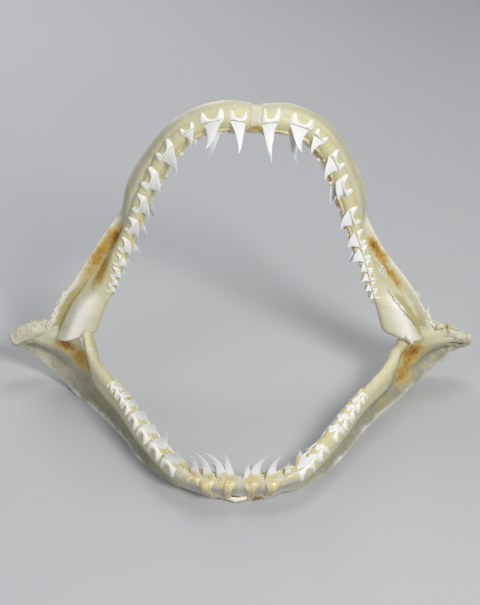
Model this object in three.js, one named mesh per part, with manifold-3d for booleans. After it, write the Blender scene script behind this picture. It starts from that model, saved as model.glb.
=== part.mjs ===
// The dried jaws of a shortfin mako shark, gape set wide open, resting on the lower jaw.
// Millimetres. X runs to the viewer's right, Y runs away from the viewer, Z is up.
import * as THREE from 'three';
import * as BufferGeometryUtils from 'three/addons/utils/BufferGeometryUtils.js';
import Module from 'manifold-3d';

const wasm = await Module();
wasm.setup();

// Driving sizes.
const JOINT_GAP = 0.3; // between pieces that touch
const JOINT_HEIGHT = 54; // where the upper jaw stands on the lower jaw
const UPPER_PAD = 4.6; // half the width of the cartilage pad between left and right
const LOWER_PAD = 2.6;
const UPPER_RISE = 205; // from the joint to the top of the upper arch
const UPPER_LEAN = 5.5; // the dried upper arch leans evenly this far to the right
const UPPER_SWEEP = 7; // and bends this far more near its top
const UPPER_ROLL = 0.05; // fall of the top of the arch to the right, per mm of width
const LOWER_SWAY = 3.5; // bend of the lower jaw to the right, half way along its sides
const RIGHT_TUCK = 6; // how much nearer the right flange lies where it starts, than the left one
const TISSUE_FROM = 166; // distance of the dried joint tissue from the midline
const FLOOR_TRIM = 0.8; // taken off the lower edge, so that it rests on small flats
const RING_POINTS = 16;
const STATION_STEPS = 32;
const SEED = 41;
const BIG = 900; // reaches past the whole object

// Each station pairs the tooth-bearing (oral) edge with the opposite (basal) edge of the cartilage.
// A point is [distance out from the midline, distance back, height]. Then the plate's thickness.
const UPPER_STATIONS = [
  { oral: [5, -7, 250], basal: [5, 15, 260], thick: 19 }, // symphysis
  { oral: [22, -6, 251], basal: [24, 16, 261], thick: 19 },
  { oral: [40, -4, 246], basal: [42, 18, 255], thick: 18 },
  { oral: [53, -3, 236], basal: [58, 20, 245], thick: 18 },
  { oral: [65, -2, 219], basal: [73.5, 21, 228], thick: 17 },
  { oral: [81, -2, 181], basal: [96, 21, 190], thick: 15 },
  { oral: [88, -3, 163], basal: [100, 20, 167], thick: 13 },
  { oral: [94, -4, 147], basal: [106, 19, 154], thick: 11 }, // the quadrate flange starts
  { oral: [102, -6, 125], basal: [120, 17, 134], thick: 10 },
  { oral: [112, -9, 94], basal: [143, 14, 98], thick: 11 },
  { oral: [119, -10, 79], basal: [154, 12, 80], thick: 13 },
  { oral: [129, -13, 50], basal: [168, 9, 50], thick: 17 }, // jaw joint
];
const LOWER_STATIONS = [
  { oral: [3, -167, 25], basal: [3, -162, 0], thick: 14 }, // symphysis
  { oral: [27, -166, 26], basal: [22, -159, 0], thick: 14 },
  { oral: [48, -157, 29], basal: [45, -144, 0], thick: 14 },
  { oral: [75, -118, 34], basal: [75.5, -109, 0], thick: 13 },
  { oral: [98, -78, 41], basal: [94.5, -75, 0], thick: 12 },
  { oral: [126, -37, 49], basal: [116, -43, 0], thick: 12 },
  { oral: [135, -16, 56], basal: [137, -16, 0], thick: 14 }, // jaw joint
  { oral: [152, 1, 57], basal: [160, 8, 10], thick: 18 },
  { oral: [180, 9, 55], basal: [182, 13, 26], thick: 15 },
  { oral: [200, 6, 48], basal: [201, 8, 38], thick: 7 }, // end of the retroarticular process
];

// Teeth from the symphysis back. Each row is the place in mm along the oral edge, the height of the
// crown, the width over the root lobes, and the tilt of the crown towards the joint in degrees.
const TEETH = {
  upper_left: [
    [9, 31.5, 13, 1], [27.5, 26, 17, 17], [46.5, 14.5, 11, 4], [70, 24, 17, 3], [96, 16, 18, 10],
    [118.5, 14, 16, 18], [139, 12, 15, 25], [158, 10, 13, 13], [172, 10.5, 11, -2], [183, 8, 9.5, 12],
    [191, 8, 8.5, 4], [198, 7, 7.5, 8],
  ],
  upper_right: [
    [7, 33.5, 13, 4], [30, 25, 18, 9], [48.5, 19, 12, -11], [74, 21, 17, -1], [98, 12, 18, 24],
    [127, 18.5, 17, 0], [149, 18, 15, -15], [164.5, 16, 14, -18], [176.5, 8.5, 11, -8],
    [186, 10, 9.5, -8], [196, 8, 9, -2], [204, 6, 8, 13],
  ],
  lower_left: [
    [5, 31.5, 12, 6], [11, 34.5, 13, 20], [22, 34, 13, 12], [32.5, 28, 12, -1], [56, 20.5, 16, -16],
    [75.5, 19, 17, -5], [95.5, 16.5, 16, -15], [113.5, 16.5, 15, -18], [130.5, 11.5, 12, -23],
    [142, 10.5, 10, -30], [152, 8.5, 8.5, -33], [160, 7, 7.5, -33],
  ],
  lower_right: [
    [3, 21, 11, 0], [8, 31.5, 13, 21], [21.5, 30.5, 13, 10], [35, 19.5, 9, -3], [50.5, 23, 16, -8],
    [60, 6, 12, 0], [72, 7, 13, -10], [97, 9, 14, -31], [112, 9, 13, -21], [125, 7, 11, -20],
    [135.5, 7.5, 10, -41], [143, 5, 8, -30],
  ],
};
// The replacement teeth that stand up behind them. Each row is the number of the tooth before it, counted
// from 0, the height of the crown and the tilt.
const SECOND_ROW = {
  upper_left: [
    [1, 27, 22], [2, 11.5, 10], [5, 13, 31], [6, 14, 11], [7, 14, -8], [8, 10.5, -11], [9, 9.5, -10],
  ],
  upper_right: [[0, 30, 4], [1, 28, 14], [4, 17.5, 38], [7, 14, -12], [9, 8, -6], [10, 7, -2]],
  lower_left: [[0, 17, 24], [1, 18, 29], [2, 16.5, 33], [3, 15, 45]],
  lower_right: [[0, 15.5, 14], [1, 15.5, 24], [2, 16.5, 27], [3, 12, 40]],
};
// How far the front teeth curve to the side, as a share of the crown.
const SWEEP = {
  lower_left: [0.1, 0.4, 0.35, 0.1],
  lower_right: [0, 0.35, 0.3],
};
const FIRST_SINK = 1.5; // depth of the foot of a tooth below the oral edge
const SECOND_SHARE = 0.92; // the width of a replacement tooth, as a share of the one before it
const SECOND_LEAN = 14; // degrees that it leans further in
const SECOND_BACK = 0.45; // how far behind it stands, in thicknesses of the plate

const clamp01 = (t) => Math.min(1, Math.max(0, t));
const ramp = (from, to, t) => {
  const k = clamp01((t - from) / (to - from));
  return k * k * (3 - 2 * k);
};
const hump = (centre, reach, t) => {
  const k = clamp01(1 - Math.abs(t - centre) / reach);
  return k * k * (3 - 2 * k);
};
const mixFrom = (seed) => {
  let state = seed;
  return () => {
    state = (state * 1664525 + 1013904223) % 4294967296;
    return state / 4294967296;
  };
};

// The relief of a plate. u runs 0 to 1 from symphysis to joint, a runs -1 to 1 from oral to basal edge.
// bend moves both faces outward in mm, swell scales the thickness.
const upperRelief = (u, a) => {
  const rear = ramp(0.52, 0.68, u);
  const fossa = hump(0.68, 0.2, u) * hump(0.3, 0.75, a);
  const paddle = ramp(0.7, 0.95, u) * hump(-0.25, 0.75, a);
  const groove = ramp(0.72, 0.9, u) * hump(0.55, 0.4, a);
  return {
    bend: 2.5 * rear * ramp(0.45, 1, a) - 6 * fossa - 4 * groove + 2 * paddle,
    swell: 1 + 0.45 * paddle - 0.3 * fossa - 0.25 * groove,
  };
};
const lowerRelief = (u, a) => {
  const side = ramp(0.2, 0.4, u) * (1 - ramp(0.85, 1, u));
  const fossa = hump(0.7, 0.16, u) * hump(-0.25, 0.7, a);
  return {
    bend: 3.5 * side * ramp(0.55, 1, a) - 2.5 * side * hump(0.35, 0.5, a) - 5 * fossa,
    swell: 1 - 0.25 * side * hump(0.3, 0.7, a) - 0.25 * fossa + 0.25 * side * hump(-1, 0.5, a),
  };
};

class Plate {
  // One curved cartilage plate on one side of the head. side is -1 for the left and 1 for the right.
  // A kind holds the stations, the relief, the pose of the dried jaw and which way its outer face looks.
  constructor(kind, side) {
    const { stations } = kind;
    const point = ([out, back, up]) => new THREE.Vector3(side * out, back, up);
    const tuck = side > 0 ? kind.tuck : 0;
    const tucked = ([out, back, up]) => point([out - tuck * hump(132, 46, up), back, up]);
    this.side = side;
    this.kind = kind;
    this.oral = new THREE.CatmullRomCurve3(stations.map((s) => point(s.oral)));
    this.basal = new THREE.CatmullRomCurve3(stations.map((s) => tucked(s.basal)));
    this.thick = new THREE.CatmullRomCurve3(stations.map((s, i) => new THREE.Vector3(s.thick, i, 0)));
  }

  frame(u) {
    const oral = this.oral.getPoint(u);
    const basal = this.basal.getPoint(u);
    const step = 0.004;
    const middle = (t) => this.oral.getPoint(clamp01(t)).add(this.basal.getPoint(clamp01(t)));
    const along = middle(u + step).sub(middle(u - step)).normalize();
    const across = basal.clone().sub(oral);
    const half = across.length() / 2;
    across.normalize();
    const outward = along.clone().cross(across).normalize().multiplyScalar(this.side * this.kind.facing);
    const centre = oral.clone().add(basal).multiplyScalar(0.5);
    return { oral, along, across, outward, centre, half, thick: this.thick.getPoint(u).x };
  }

  surface(u, angle) {
    const f = this.frame(u);
    const fullness = 0.8;
    const a = Math.sign(Math.cos(angle)) * Math.abs(Math.cos(angle)) ** fullness;
    const b = Math.sign(Math.sin(angle)) * Math.abs(Math.sin(angle)) ** fullness;
    const { bend, swell } = this.kind.relief(u, a);
    const point = f.centre.clone();
    point.addScaledVector(f.across, a * f.half);
    point.addScaledVector(f.outward, bend + (b * swell * f.thick) / 2);
    return this.kind.posed(point);
  }

  solid() {
    const rings = [];
    for (let i = 0; i <= STATION_STEPS; i += 1) {
      const ring = [];
      for (let j = 0; j < RING_POINTS; j += 1) {
        ring.push(this.surface(i / STATION_STEPS, (j / RING_POINTS) * 2 * Math.PI));
      }
      rings.push(ring);
    }
    return loft(rings);
  }

  // The place on the oral edge at a distance in mm from the symphysis.
  atDistance(distance) {
    return this.oral.getUtoTmapping(0, distance);
  }
}

// The dried upper arch leans and turns to one side, more the higher it is.
function upperPosed(point) {
  const h = Math.max(0, (point.z - JOINT_HEIGHT) / UPPER_RISE);
  const roll = UPPER_ROLL * h * h * point.x;
  point.x += UPPER_LEAN * h + UPPER_SWEEP * h ** 4;
  point.z -= roll;
  return point;
}
// The sides of the lower jaw bend the same way, half way along and only above the floor.
function lowerPosed(point) {
  point.x += (LOWER_SWAY * hump(-45, 90, point.y) * point.z) / JOINT_HEIGHT;
  return point;
}
const UPPER = {
  stations: UPPER_STATIONS,
  relief: upperRelief,
  posed: upperPosed,
  facing: 1,
  pad: UPPER_PAD,
  tuck: RIGHT_TUCK,
  inward: () => 6,
  forward: (i) => 0.3 - 0.1 * ramp(2, 6, i),
  secondSink: 3,
};
const LOWER = {
  stations: LOWER_STATIONS,
  relief: lowerRelief,
  posed: lowerPosed,
  facing: -1,
  pad: LOWER_PAD,
  tuck: 0,
  inward: (i) => 4 + 20 * ramp(3, 5, i),
  forward: (i) => 0.15 - 0.15 * ramp(2, 6, i),
  secondSink: 8,
};

function solidFrom(points, faces) {
  let geometry = new THREE.BufferGeometry();
  const numbers = points.flatMap((p) => [p.x, p.y, p.z]);
  geometry.setAttribute('position', new THREE.Float32BufferAttribute(numbers, 3));
  geometry.setIndex(faces.flat());
  geometry = BufferGeometryUtils.mergeVertices(geometry, 1e-4);
  const position = geometry.getAttribute('position').array;
  const index = Uint32Array.from(geometry.getIndex().array);
  const corner = (k) => new THREE.Vector3().fromArray(position, 3 * index[k]);
  let volume = 0;
  for (let k = 0; k < index.length; k += 3) {
    volume += corner(k).dot(corner(k + 1).cross(corner(k + 2)));
  }
  if (volume < 0) {
    index.reverse();
  }
  const mesh = new wasm.Mesh({ numProp: 3, vertProperties: Float32Array.from(position), triVerts: index });
  return new wasm.Manifold(mesh);
}

// A closed solid through rings of points, with a flat fan at each end.
function loft(rings) {
  const count = rings[0].length;
  const points = rings.flat();
  const faces = [];
  for (let i = 0; i + 1 < rings.length; i += 1) {
    for (let j = 0; j < count; j += 1) {
      const a = i * count + j;
      const b = i * count + ((j + 1) % count);
      faces.push([a, b, b + count], [a, b + count, a + count]);
    }
  }
  const ends = [[rings[0], 0, true], [rings.at(-1), (rings.length - 1) * count, false]];
  for (const [ring, first, flip] of ends) {
    const middle = ring.reduce((sum, p) => sum.add(p), new THREE.Vector3()).divideScalar(count);
    points.push(middle);
    for (let j = 0; j < count; j += 1) {
      const pair = [first + j, first + ((j + 1) % count)];
      faces.push(flip ? [pair[1], pair[0], points.length - 1] : [pair[0], pair[1], points.length - 1]);
    }
  }
  return solidFrom(points, faces);
}

// One tooth in its own frame: x along the jaw, y outward, z to the tip. A slender blade on a forked root.
function toothPoints({ crown, width, sweep }) {
  const w = width / 2;
  const root = 0.12 * width + Math.min(0.32 * crown, 9);
  const outline = [
    [0, crown],
    [0.26 * w, 0.62 * crown],
    [0.46 * w, 0.28 * crown],
    [0.95 * w, 0],
    [w, -0.4 * root],
    [0.66 * w, -root],
    [0, -0.4 * root],
  ];
  const left = outline.slice(1, 6).reverse();
  const ring = [...outline, ...left.map(([x, z]) => [-x, z])];
  const inner = [
    [0, 0.6 * crown, 0.1],
    [0, 0.25 * crown, 0.17],
    [0, -0.1 * root, 0.24],
    [0.6 * w, -0.35 * root, 0.2],
    [-0.6 * w, -0.35 * root, 0.2],
  ];
  const height = (z) => clamp01(z / crown);
  const bent = (x, y, z) => new THREE.Vector3(
    x + sweep * crown * (height(z) ** 2 - height(z)),
    y - 0.1 * crown * Math.sin(Math.PI * height(z)),
    z,
  );
  const flat = ring.map(([x, z]) => bent(x, 0, z));
  const front = inner.map(([x, z, deep]) => bent(x, 0.5 * deep * width, z));
  const back = inner.map(([x, z, deep]) => bent(x, -deep * width, z));
  return { flat, front, back };
}

function tooth(size, place, axes) {
  const { flat, front, back } = toothPoints(size);
  const points = [...flat, ...front, ...back].map((p) => place.clone()
    .addScaledVector(axes.x, p.x)
    .addScaledVector(axes.y, p.y)
    .addScaledVector(axes.z, p.z));
  const n = flat.length;
  const half = (low, mid, root, lobe) => [
    [low[0], low[1], mid], [low[1], low[2], mid], [low[2], root - 1, mid], [low[2], low[3], root - 1],
    [low[3], lobe, root - 1], [low[3], low[4], lobe], [low[4], low[5], lobe], [low[5], low[6], lobe],
    [low[6], root, lobe], [lobe, root, root - 1],
  ];
  const right = [0, 1, 2, 3, 4, 5, 6];
  const left = [0, n - 1, n - 2, n - 3, n - 4, n - 5, 6];
  const flipped = (list) => list.map(([a, b, c]) => [a, c, b]);
  const faces = [
    ...half(right, n, n + 2, n + 3),
    ...flipped(half(left, n, n + 2, n + 4)),
    ...flipped(half(right, n + 5, n + 7, n + 8)),
    ...half(left, n + 5, n + 7, n + 9),
  ];
  return solidFrom(points, faces);
}

// The teeth of one plate, set on its oral edge. inward is their lean to the inside in degrees, and
// forward is how far out in the thickness of the plate they stand.
function teethOf(plate, rows, second, sweeps) {
  const { inward, forward, secondSink, posed } = plate.kind;
  const stand = (i, row, size, tilt) => {
    const f = plate.frame(plate.atDistance(rows[i][0]));
    const lean = THREE.MathUtils.degToRad(inward(i) + SECOND_LEAN * row);
    const z = f.across.clone().multiplyScalar(-Math.cos(lean)).addScaledVector(f.outward, -Math.sin(lean));
    z.addScaledVector(f.along, Math.tan(THREE.MathUtils.degToRad(tilt))).normalize();
    const x = f.along.clone().addScaledVector(z, -f.along.dot(z)).normalize();
    const y = x.clone().cross(z).normalize();
    if (y.dot(f.outward) < 0) {
      y.negate();
    }
    const place = f.oral.clone()
      .addScaledVector(f.outward, f.thick * (forward(i) - SECOND_BACK * row))
      .addScaledVector(f.across, row ? secondSink : FIRST_SINK);
    return tooth(size, posed(place), { x, y, z });
  };
  return [
    ...rows.map(([, crown, width, tilt], i) => stand(i, 0, { crown, width, sweep: sweeps[i] ?? 0 }, tilt)),
    ...second.map(([i, crown, tilt]) => {
      const width = SECOND_SHARE * rows[i][2];
      return stand(i, 1, { crown, width, sweep: 0 }, tilt);
    }),
  ];
}

// A box between two corners.
function slab(low, high) {
  const size = new THREE.Vector3().subVectors(high, low);
  const box = new THREE.BoxGeometry(size.x, size.y, size.z);
  box.translate((low.x + high.x) / 2, (low.y + high.y) / 2, (low.z + high.z) / 2);
  box.deleteAttribute('normal');
  box.deleteAttribute('uv');
  const merged = BufferGeometryUtils.mergeVertices(box);
  const position = Float32Array.from(merged.getAttribute('position').array);
  const index = Uint32Array.from(merged.getIndex().array);
  return new wasm.Manifold(new wasm.Mesh({ numProp: 3, vertProperties: position, triVerts: index }));
}
// Everything above a height, or below it.
const above = (z) => slab(new THREE.Vector3(-BIG, -BIG, z), new THREE.Vector3(BIG, BIG, BIG));
const below = (z) => slab(new THREE.Vector3(-BIG, -BIG, -BIG), new THREE.Vector3(BIG, BIG, z));
// Everything further out than a distance on one side, or nearer to the midline.
const outside = (side, x) => (side < 0
  ? slab(new THREE.Vector3(-BIG, -BIG, -BIG), new THREE.Vector3(-x, BIG, BIG))
  : slab(new THREE.Vector3(x, -BIG, -BIG), new THREE.Vector3(BIG, BIG, BIG)));
const inside = (side, x) => (side < 0
  ? slab(new THREE.Vector3(-x, -BIG, -BIG), new THREE.Vector3(BIG, BIG, BIG))
  : slab(new THREE.Vector3(-BIG, -BIG, -BIG), new THREE.Vector3(x, BIG, BIG)));

// The largest closed surface of a solid.
function largest(solid) {
  const pieces = solid.decompose().map((piece) => ({ piece, volume: piece.volume() }));
  pieces.sort((a, b) => b.volume - a.volume);
  return pieces[0].piece;
}

// One half of a jaw: the plate, cut off at the joint, and its teeth.
function jawHalf(kind, name, side, limit) {
  const plate = new Plate(kind, side);
  const teeth = teethOf(plate, TEETH[name], SECOND_ROW[name], SWEEP[name] ?? []);
  return wasm.Manifold.union([plate.solid().intersect(limit), ...teeth]);
}

// The pad of cartilage between the left and right halves of a jaw, share times their own section.
function symphysis(kind, share) {
  const plate = new Plate(kind, 1);
  const edge = kind.pad - JOINT_GAP / 2;
  const f = plate.frame(0);
  const rings = [];
  for (const x of [-edge, -edge / 2, 0, edge / 2, edge]) {
    const swell = share + 0.06 * (1 - (x / edge) ** 2);
    const ring = [];
    for (let j = 0; j < RING_POINTS; j += 1) {
      const angle = (j / RING_POINTS) * 2 * Math.PI;
      const point = f.centre.clone()
        .addScaledVector(f.across, Math.cos(angle) * f.half * swell)
        .addScaledVector(f.outward, (Math.sin(angle) * f.thick * swell) / 2);
      point.x = x;
      ring.push(kind.posed(point));
    }
    rings.push(ring);
  }
  return loft(rings);
}

// Dried ligament and muscle on the outer end of the jaw joint.
function jointTissue(side) {
  const draw = mixFrom(SEED + side + 7);
  const [outX, backY, up] = [181, 8, 49];
  const [halfX, girthY, girthZ] = [18, 9, 9.5];
  const rings = [];
  for (let i = 0; i <= 8; i += 1) {
    const t = -1 + (2 * i) / 8;
    const girth = Math.sqrt(Math.max(0.04, 1 - t * t));
    const ring = [];
    for (let j = 0; j < 10; j += 1) {
      const angle = (j / 10) * 2 * Math.PI;
      const rough = 1 + 0.16 * (draw() - 0.5);
      ring.push(new THREE.Vector3(
        side * (outX + halfX * t),
        backY + girthY * girth * rough * Math.cos(angle) - 2 * t,
        up - 3 * t + girthZ * girth * rough * Math.sin(angle),
      ));
    }
    rings.push(ring);
  }
  return loft(rings);
}

function node(name, solid, colour, roughness) {
  const { vertProperties, triVerts } = largest(solid).getMesh();
  const geometry = new THREE.BufferGeometry();
  geometry.setAttribute('position', new THREE.Float32BufferAttribute(vertProperties, 3));
  geometry.setIndex(new THREE.BufferAttribute(triVerts, 1));
  const material = new THREE.MeshStandardMaterial({ color: colour, roughness, metalness: 0 });
  const mesh = new THREE.Mesh(geometry, material);
  mesh.name = name;
  return mesh;
}

const CARTILAGE = new THREE.Color(0.84, 0.81, 0.66);
const TISSUE = new THREE.Color(0.62, 0.53, 0.4);
const half = JOINT_GAP / 2;
const jaws = new THREE.Group();
for (const [key, side] of [['left', -1], ['right', 1]]) {
  const upper = jawHalf(UPPER, `upper_${key}`, side, above(JOINT_HEIGHT + half))
    .intersect(inside(side, TISSUE_FROM - half));
  const lower = jawHalf(LOWER, `lower_${key}`, side, below(JOINT_HEIGHT - half))
    .intersect(above(FLOOR_TRIM))
    .intersect(outside(side, LOWER.pad + half));
  const tissue = jointTissue(side)
    .intersect(above(JOINT_HEIGHT + half))
    .intersect(outside(side, TISSUE_FROM + half));
  jaws.add(node(`upper_jaw_${key}`, upper, CARTILAGE, 0.5));
  jaws.add(node(`lower_jaw_${key}`, lower, CARTILAGE, 0.5));
  jaws.add(node(`joint_tissue_${key}`, tissue, TISSUE, 0.7));
}
jaws.add(node('upper_symphysis', symphysis(UPPER, 0.88), CARTILAGE, 0.5));
jaws.add(node('lower_symphysis', symphysis(LOWER, 0.8).intersect(above(FLOOR_TRIM)), CARTILAGE, 0.5));

// The origin is under the middle of the whole, on the floor.
const bounds = new THREE.Box3().setFromObject(jaws);
const centre = bounds.getCenter(new THREE.Vector3());
jaws.position.set(-centre.x, -centre.y, -bounds.min.z);

export default jaws;
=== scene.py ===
"""The looks of a dried shortfin mako jaw: cartilage plates, tooth rows, gum and dried tissue.

Lengths are in millimetres in the part's own frame until a mesh is made. X runs to the viewer's right,
Y away from the viewer, Z up. Left and right are the viewer's. On a plate, u runs from 0 at the symphysis to
1 at the joint, and a from -1 at the oral edge to 1 at the basal edge.
"""
import functools
import math

import bmesh
import bpy
import numpy as np
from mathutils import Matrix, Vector


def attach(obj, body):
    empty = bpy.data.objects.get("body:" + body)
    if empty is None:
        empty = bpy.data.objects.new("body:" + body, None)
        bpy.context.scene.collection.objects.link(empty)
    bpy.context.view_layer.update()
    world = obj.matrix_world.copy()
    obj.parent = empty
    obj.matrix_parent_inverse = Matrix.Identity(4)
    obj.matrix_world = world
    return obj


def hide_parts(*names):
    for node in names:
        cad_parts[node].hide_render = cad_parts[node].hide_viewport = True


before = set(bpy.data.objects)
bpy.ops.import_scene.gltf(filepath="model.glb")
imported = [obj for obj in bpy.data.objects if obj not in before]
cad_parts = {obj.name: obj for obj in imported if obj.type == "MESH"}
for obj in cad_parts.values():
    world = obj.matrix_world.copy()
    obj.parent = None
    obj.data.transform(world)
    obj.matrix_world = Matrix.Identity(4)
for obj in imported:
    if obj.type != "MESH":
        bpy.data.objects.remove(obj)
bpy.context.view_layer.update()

# Where the part's own origin lies in the row frame.
PART_ORIGIN = np.array([-0.85, 75.34, -0.8])
MM = 0.001
SEED = 41
SIDES = {-1: "left", 1: "right"}

# Driving sizes, as in the solids.
JOINT_HEIGHT = 54.0
UPPER_RISE = 205.0
UPPER_LEAN = 5.5
UPPER_SWEEP = 7.0
UPPER_ROLL = 0.05
LOWER_SWAY = 3.5
RIGHT_TUCK = 6.0
UPPER_PAD = 4.6
LOWER_PAD = 2.6
FLOOR_TRIM = 0.8
CORNER_RISE = {-1: 11.0, 1: -3.0}

# Stations from the symphysis to the joint: oral edge, basal edge (out, back, up) and thickness.
UPPER_STATIONS = [
    ((5, -7, 250), (5, 15, 260), 19),
    ((22, -6, 251), (24, 16, 261), 19),
    ((40, -4, 246), (42, 18, 255), 18),
    ((53, -3, 236), (58, 20, 245), 18),
    ((65, -2, 219), (73.5, 21, 228), 17),
    ((81, -2, 181), (96, 21, 190), 15),
    ((88, -3, 163), (100, 20, 167), 13),
    ((94, -4, 147), (106, 19, 154), 11),
    ((102, -6, 125), (120, 17, 134), 10),
    ((112, -9, 94), (143, 14, 98), 11),
    ((119, -10, 79), (154, 12, 80), 13),
    ((129, -13, 50), (168, 9, 50), 17),
]
LOWER_STATIONS = [
    ((3, -167, 25), (3, -162, 0), 14),
    ((27, -166, 26), (22, -159, 0), 14),
    ((48, -157, 29), (45, -144, 0), 14),
    ((75, -118, 34), (75.5, -109, 0), 13),
    ((98, -78, 41), (94.5, -75, 0), 12),
    ((126, -37, 49), (116, -43, 0), 12),
    ((135, -16, 56), (137, -16, 0), 14),
    ((152, 1, 57), (160, 8, 10), 18),
    ((180, 9, 55), (182, 13, 26), 15),
    ((200, 6, 48), (201, 8, 38), 7),
]

# Teeth from the symphysis back: place along the oral edge, crown height, width over the root lobes,
# tilt of the crown towards the joint in degrees, and depth of the root.
TEETH = {
    "upper_left": [
        (9, 31.5, 13, 1, 9), (27.5, 26, 17, 17, 10), (46.5, 14.5, 11, 4, 5), (70, 24, 17, 3, 8),
        (96, 16, 18, 10, 8), (118.5, 14, 16, 18, 7), (139, 12, 15, 25, 6.5), (158, 10, 13, 13, 6),
        (172, 10.5, 11, -2, 5), (183, 8, 9.5, 12, 4.5), (191, 8, 8.5, 4, 4), (198, 7, 7.5, 8, 3.5),
    ],
    "upper_right": [
        (7, 33.5, 13, 4, 13), (30, 25, 18, 9, 10), (48.5, 19, 12, -11, 5), (74, 21, 17, -1, 8),
        (98, 12, 18, 24, 8), (127, 18.5, 17, 0, 7.5), (149, 18, 15, -15, 7), (164.5, 16, 14, -18, 6.5),
        (176.5, 8.5, 11, -8, 5), (186, 10, 9.5, -8, 4.5), (196, 8, 9, -2, 4), (204, 6, 8, 13, 3.5),
    ],
    "lower_left": [
        (5, 31.5, 12, 6, 23), (11, 34.5, 13, 20, 9), (22, 34, 13, 12, 22), (32.5, 28, 12, -1, 9),
        (56, 20.5, 16, -16, 11), (75.5, 19, 17, -5, 9), (95.5, 16.5, 16, -15, 8),
        (113.5, 16.5, 15, -18, 7), (130.5, 11.5, 12, -23, 6), (142, 10.5, 10, -30, 5),
        (152, 8.5, 8.5, -33, 4.5), (160, 7, 7.5, -33, 4),
    ],
    "lower_right": [
        (3, 21, 11, 0, 23), (8, 31.5, 13, 21, 12), (21.5, 30.5, 13, 10, 21), (35, 19.5, 9, -3, 9),
        (50.5, 23, 16, -8, 12), (60, 6, 12, 0, 6), (72, 7, 13, -10, 7), (97, 9, 14, -31, 7),
        (112, 9, 13, -21, 7), (125, 7, 11, -20, 6), (135.5, 7.5, 10, -41, 5), (143, 5, 8, -30, 4),
    ],
}
# The replacement teeth that stand up behind them: number of the tooth before, crown height and tilt.
SECOND_ROW = {
    "upper_left": [
        (1, 27, 22), (2, 11.5, 10), (5, 13, 31), (6, 14, 11), (7, 14, -8), (8, 10.5, -11), (9, 9.5, -10),
    ],
    "upper_right": [(0, 30, 4), (1, 28, 14), (4, 17.5, 38), (7, 14, -12), (9, 8, -6), (10, 7, -2)],
    "lower_left": [(0, 17, 24), (1, 18, 29), (2, 16.5, 33), (3, 15, 45)],
    "lower_right": [(0, 15.5, 14), (1, 15.5, 24), (2, 16.5, 27), (3, 12, 40)],
}
# How far the front teeth curve to the side, as a share of the crown.
SWEEP = {"lower_left": (0.1, 0.4, 0.35, 0.1), "lower_right": (0.0, 0.35, 0.3)}
# How deep the two rows are sunk in the plate in mm, and the size, lean and place of the second.
FIRST_SINK = 1.5
SECOND_SINK = {"upper": 3.0, "lower": 8.0}
SECOND_SHARE = 0.92
SECOND_LEAN = 14.0
SECOND_BACK = 0.45
# The roots of the lower front teeth, which stand free as columns: half the gap between the two lobes,
# how far the root lies towards the joint, how deep the notch between the lobes is, and how proud it stands.
FRONT_ROOTS = {
    "lower_left": [
        (2.1, 2.4, 0.12, 3.4), (5.5, 5.0, 0.5, 1.0), (2.2, 1.6, 0.12, 3.4), (4.5, 0.5, 0.5, 1.2),
    ],
    "lower_right": [
        (2.2, 3.0, 0.2, 2.4), (2.6, -1.2, 0.12, 3.4), (2.2, 0.6, 0.12, 3.6), (4.5, 0.0, 0.6, 1.0),
    ],
}
# Hollows in the lower edge between those columns: u, the reach in u and the depth.
ARCHES = {
    -1: [(0.075, 0.034, 3.0), (0.15, 0.05, 4.5), (0.2, 0.04, 2.5)],
    1: [(0.066, 0.036, 4.5), (0.155, 0.045, 4.5)],
}

# The camera, at the photograph's viewing angle.
VIEW_DOWN = math.radians(31)
VIEW_TARGET = np.array([0.0, 0.0, 85.0])
VIEW_DISTANCE = 1240.0
VIEW_SCALE = 0.859  # mm a pixel at the target
IMAGE = (480, 605)
SENSOR = 36.0
FLOOR_SIZE = 60  # m
WORLD_COLOUR = (0.92, 0.95, 1.0, 1)
WORLD_STRENGTH = 0.19

# Name, place and aim in m, size, power and colour.
LIGHTS = [
    ("key", (0.7, -1.15, 1.25), (0, 0, 0.1), 0.5, 23, (1.0, 0.99, 0.97)),
    ("fill", (-1.0, -0.9, 0.7), (0, 0, 0.12), 0.8, 4, (0.96, 0.98, 1.0)),
    ("top", (0.15, 0.5, 1.4), (0, 0, 0.1), 0.6, 5, (1, 1, 1)),
    ("back", (-0.5, 1.3, 0.8), (0, 0, 0.1), 0.8, 6, (1, 1, 1)),
]


def clamp01(t):
    return np.clip(t, 0.0, 1.0)


def ramp(start, end, t):
    """0 before start, 1 after end, smooth between."""
    k = clamp01((np.asarray(t, float) - start) / (end - start))
    return k * k * (3 - 2 * k)


def hump(centre, reach, t):
    """1 at centre, 0 at reach from it, smooth between."""
    k = clamp01(1 - np.abs(np.asarray(t, float) - centre) / reach)
    return k * k * (3 - 2 * k)


def lattice(cell, seed):
    """A repeatable number from 0 to 1 for each whole-numbered cell."""
    n = (cell[..., 0] * 73856093) ^ (cell[..., 1] * 19349663) ^ (cell[..., 2] * 83492791) ^ (seed * 2654435)
    n = (n ^ (n >> 13)) * 1274126177
    return ((n ^ (n >> 16)) & 0xFFFF) / 65535.0


def grain(points, size, seed):
    """Smooth noise from -1 to 1 with features of a size in mm."""
    p = np.asarray(points, float) / size
    low = np.floor(p).astype(np.int64)
    w = p - low
    w = w * w * (3 - 2 * w)
    total = 0.0
    for corner in range(8):
        step = np.array([corner & 1, (corner >> 1) & 1, corner >> 2])
        share = np.prod(np.where(step == 1, w, 1 - w), axis=-1)
        total = total + share * lattice(low + step, seed)
    return 2 * total - 1


def rough(points, size, seed, octaves=3):
    """Noise with finer noise on it."""
    total, reach = 0.0, 0.0
    for k in range(octaves):
        total = total + grain(points, size / 2**k, seed + k) / 2**k
        reach += 1 / 2**k
    return total / reach


def unit(v):
    return v / np.maximum(np.linalg.norm(v, axis=-1, keepdims=True), 1e-9)


SECTION_POWER = 0.8


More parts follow.
